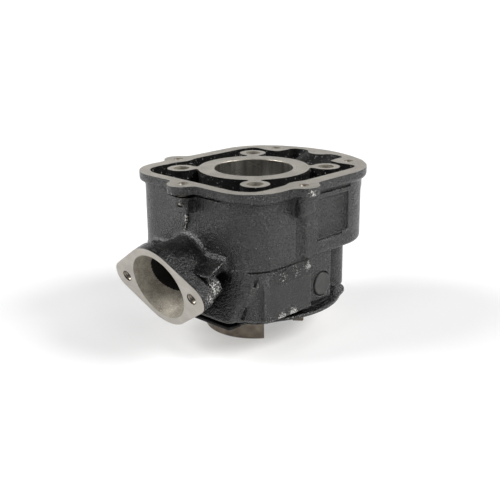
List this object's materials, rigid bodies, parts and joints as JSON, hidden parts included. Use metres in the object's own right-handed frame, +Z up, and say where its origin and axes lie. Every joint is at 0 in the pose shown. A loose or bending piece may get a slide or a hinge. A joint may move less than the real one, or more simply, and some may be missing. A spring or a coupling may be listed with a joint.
{
  "type": "two-stroke engine cylinder",
  "caption": "Liquid-cooled two-stroke engine cylinder with open-deck water jacket, oval exhaust flange, through studs and a notched liner skirt.",
  "frame": {"origin": "middle of the object's plan box, at the lowest point of the liner skirt", "axes": "+Z up along the bore axis to the machined deck, +Y away from the exhaust, +X to the right seen from the exhaust side. The bore axis is at x = 0, y = 6.511 mm, the deck at z = 83.5 mm and the base face at z = 16.9 mm."},
  "size_m": [0.1012, 0.1304, 0.0835],
  "materials": {
    "coated_iron": "black-coated sand-cast surface with a fine grain and a soft sheen",
    "machined_iron": "face-milled light grey metal with fine tool lines",
    "bare_iron": "bare turned and honed brownish grey iron"
  },
  "bodies": {
    "root": {"cylinder_liner": "bare_iron", "core_plug_right": "coated_iron", "core_plug_left": "coated_iron", "casting_deck_rim": "machined_iron", "casting_jacket_wall": "coated_iron", "casting_jacket_floor": "coated_iron", "casting_bore_barrel": "machined_iron", "casting_base_flange": "coated_iron", "casting_boost_housing": "coated_iron", "casting_exhaust_neck": "coated_iron", "casting_exhaust_flange": "machined_iron", "casting_cover_lug_front": "coated_iron", "casting_cover_lug_right": "coated_iron", "casting_cover_lug_left": "coated_iron", "casting_cover_lug_rear_right": "coated_iron", "casting_cover_lug_rear_left": "coated_iron", "casting_stud_column_front_right": "coated_iron", "casting_stud_column_front_left": "coated_iron", "casting_stud_column_rear_right": "coated_iron", "casting_stud_column_rear_left": "coated_iron", "casting_transfer_housing_right": "coated_iron", "casting_transfer_housing_left": "coated_iron"}
  },
  "joints": []
}
